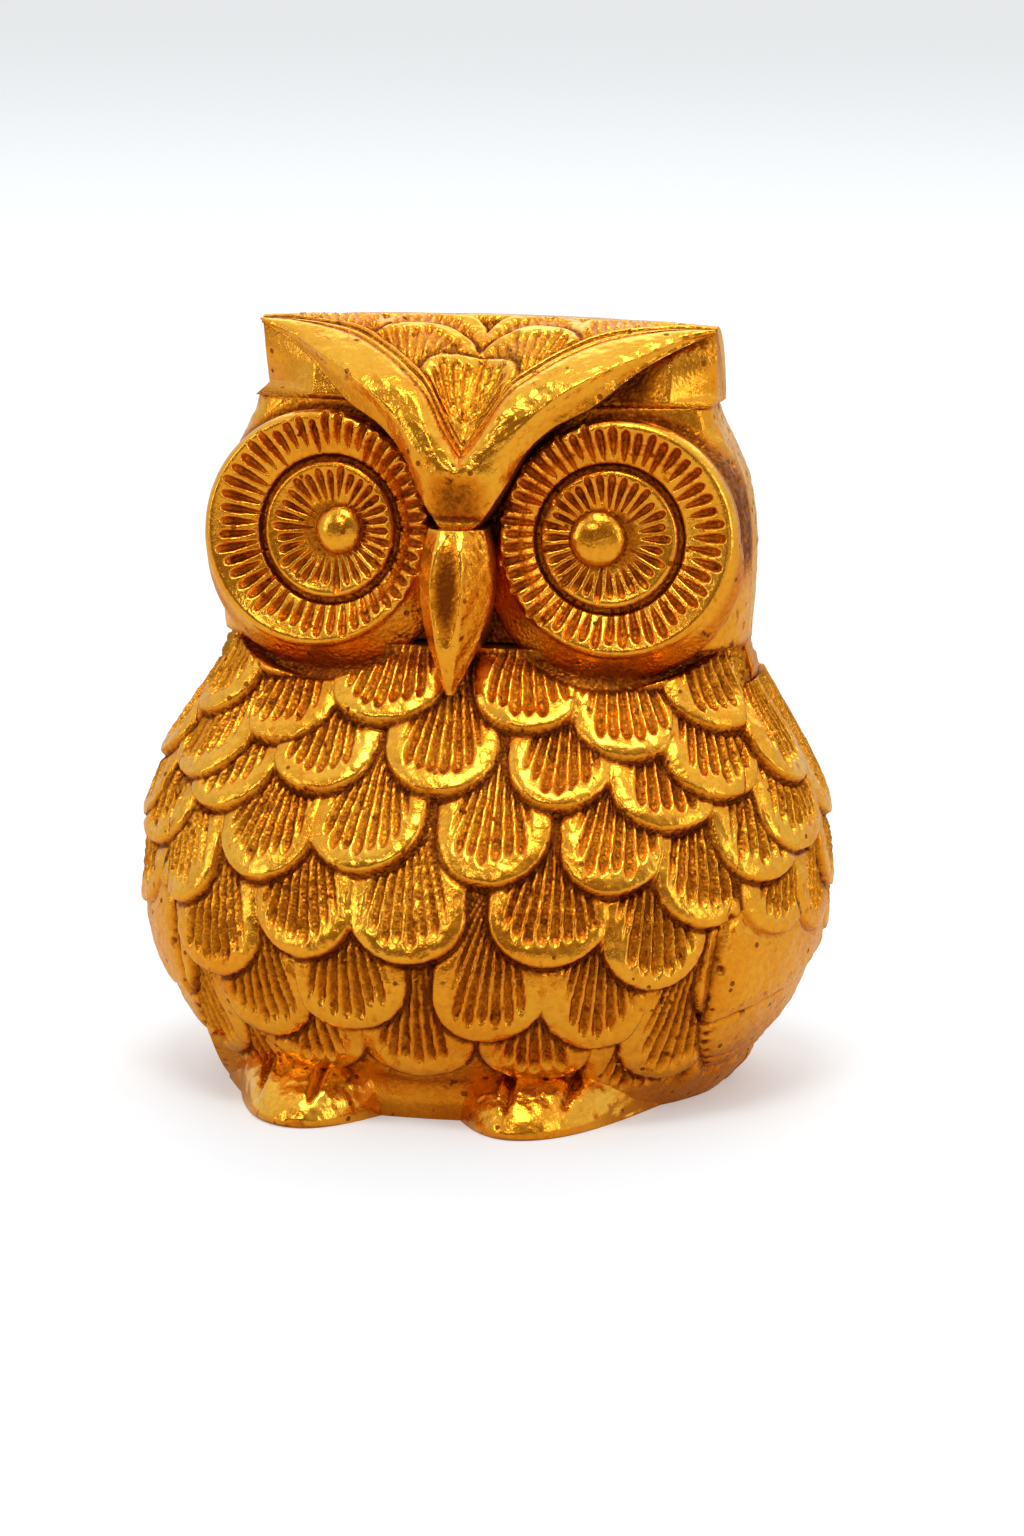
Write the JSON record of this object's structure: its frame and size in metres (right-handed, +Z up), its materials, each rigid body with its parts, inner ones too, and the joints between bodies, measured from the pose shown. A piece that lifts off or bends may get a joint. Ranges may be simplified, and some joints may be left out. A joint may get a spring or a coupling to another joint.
{
  "type": "owl figurine",
  "caption": "Round-bodied brass owl figurine with horned brow, riveted dished eyes, beak, scaled breast, folded wings, tail and feet, standing on a closed flat underside.",
  "frame": {"origin": "centre of the bounding box on the surface that the figurine stands on", "axes": "+Z up, the owl faces -Y, its own left side is +X"},
  "size_m": [0.0806, 0.0629, 0.086],
  "materials": {
    "feathered_brass": "cast and chased warm gold brass, polished on the feathers' rims, brown patina in the cuts",
    "polished_brass": "hand polished warm gold brass with fine scratches and a few casting pits",
    "engraved_brass": "warm gold brass cut with radial gouges, dark patina in the gouges",
    "plain_brass": "filed flat brass, dull and slightly tarnished"
  },
  "bodies": {
    "root": {"body_front_shell": "feathered_brass", "body_back_shell": "feathered_brass", "head_front_shell": "feathered_brass", "head_back_shell": "feathered_brass", "crown_cap": "feathered_brass", "brow": "polished_brass", "beak": "polished_brass", "eye_disc_left": "engraved_brass", "eye_disc_right": "engraved_brass", "iris_disc_left": "engraved_brass", "iris_disc_right": "engraved_brass", "pupil_rivet_left": "polished_brass", "pupil_rivet_right": "polished_brass", "wing_left": "feathered_brass", "wing_right": "feathered_brass", "tail": "feathered_brass", "foot_left": "polished_brass", "foot_right": "polished_brass", "base_plate": "plain_brass"}
  },
  "joints": []
}
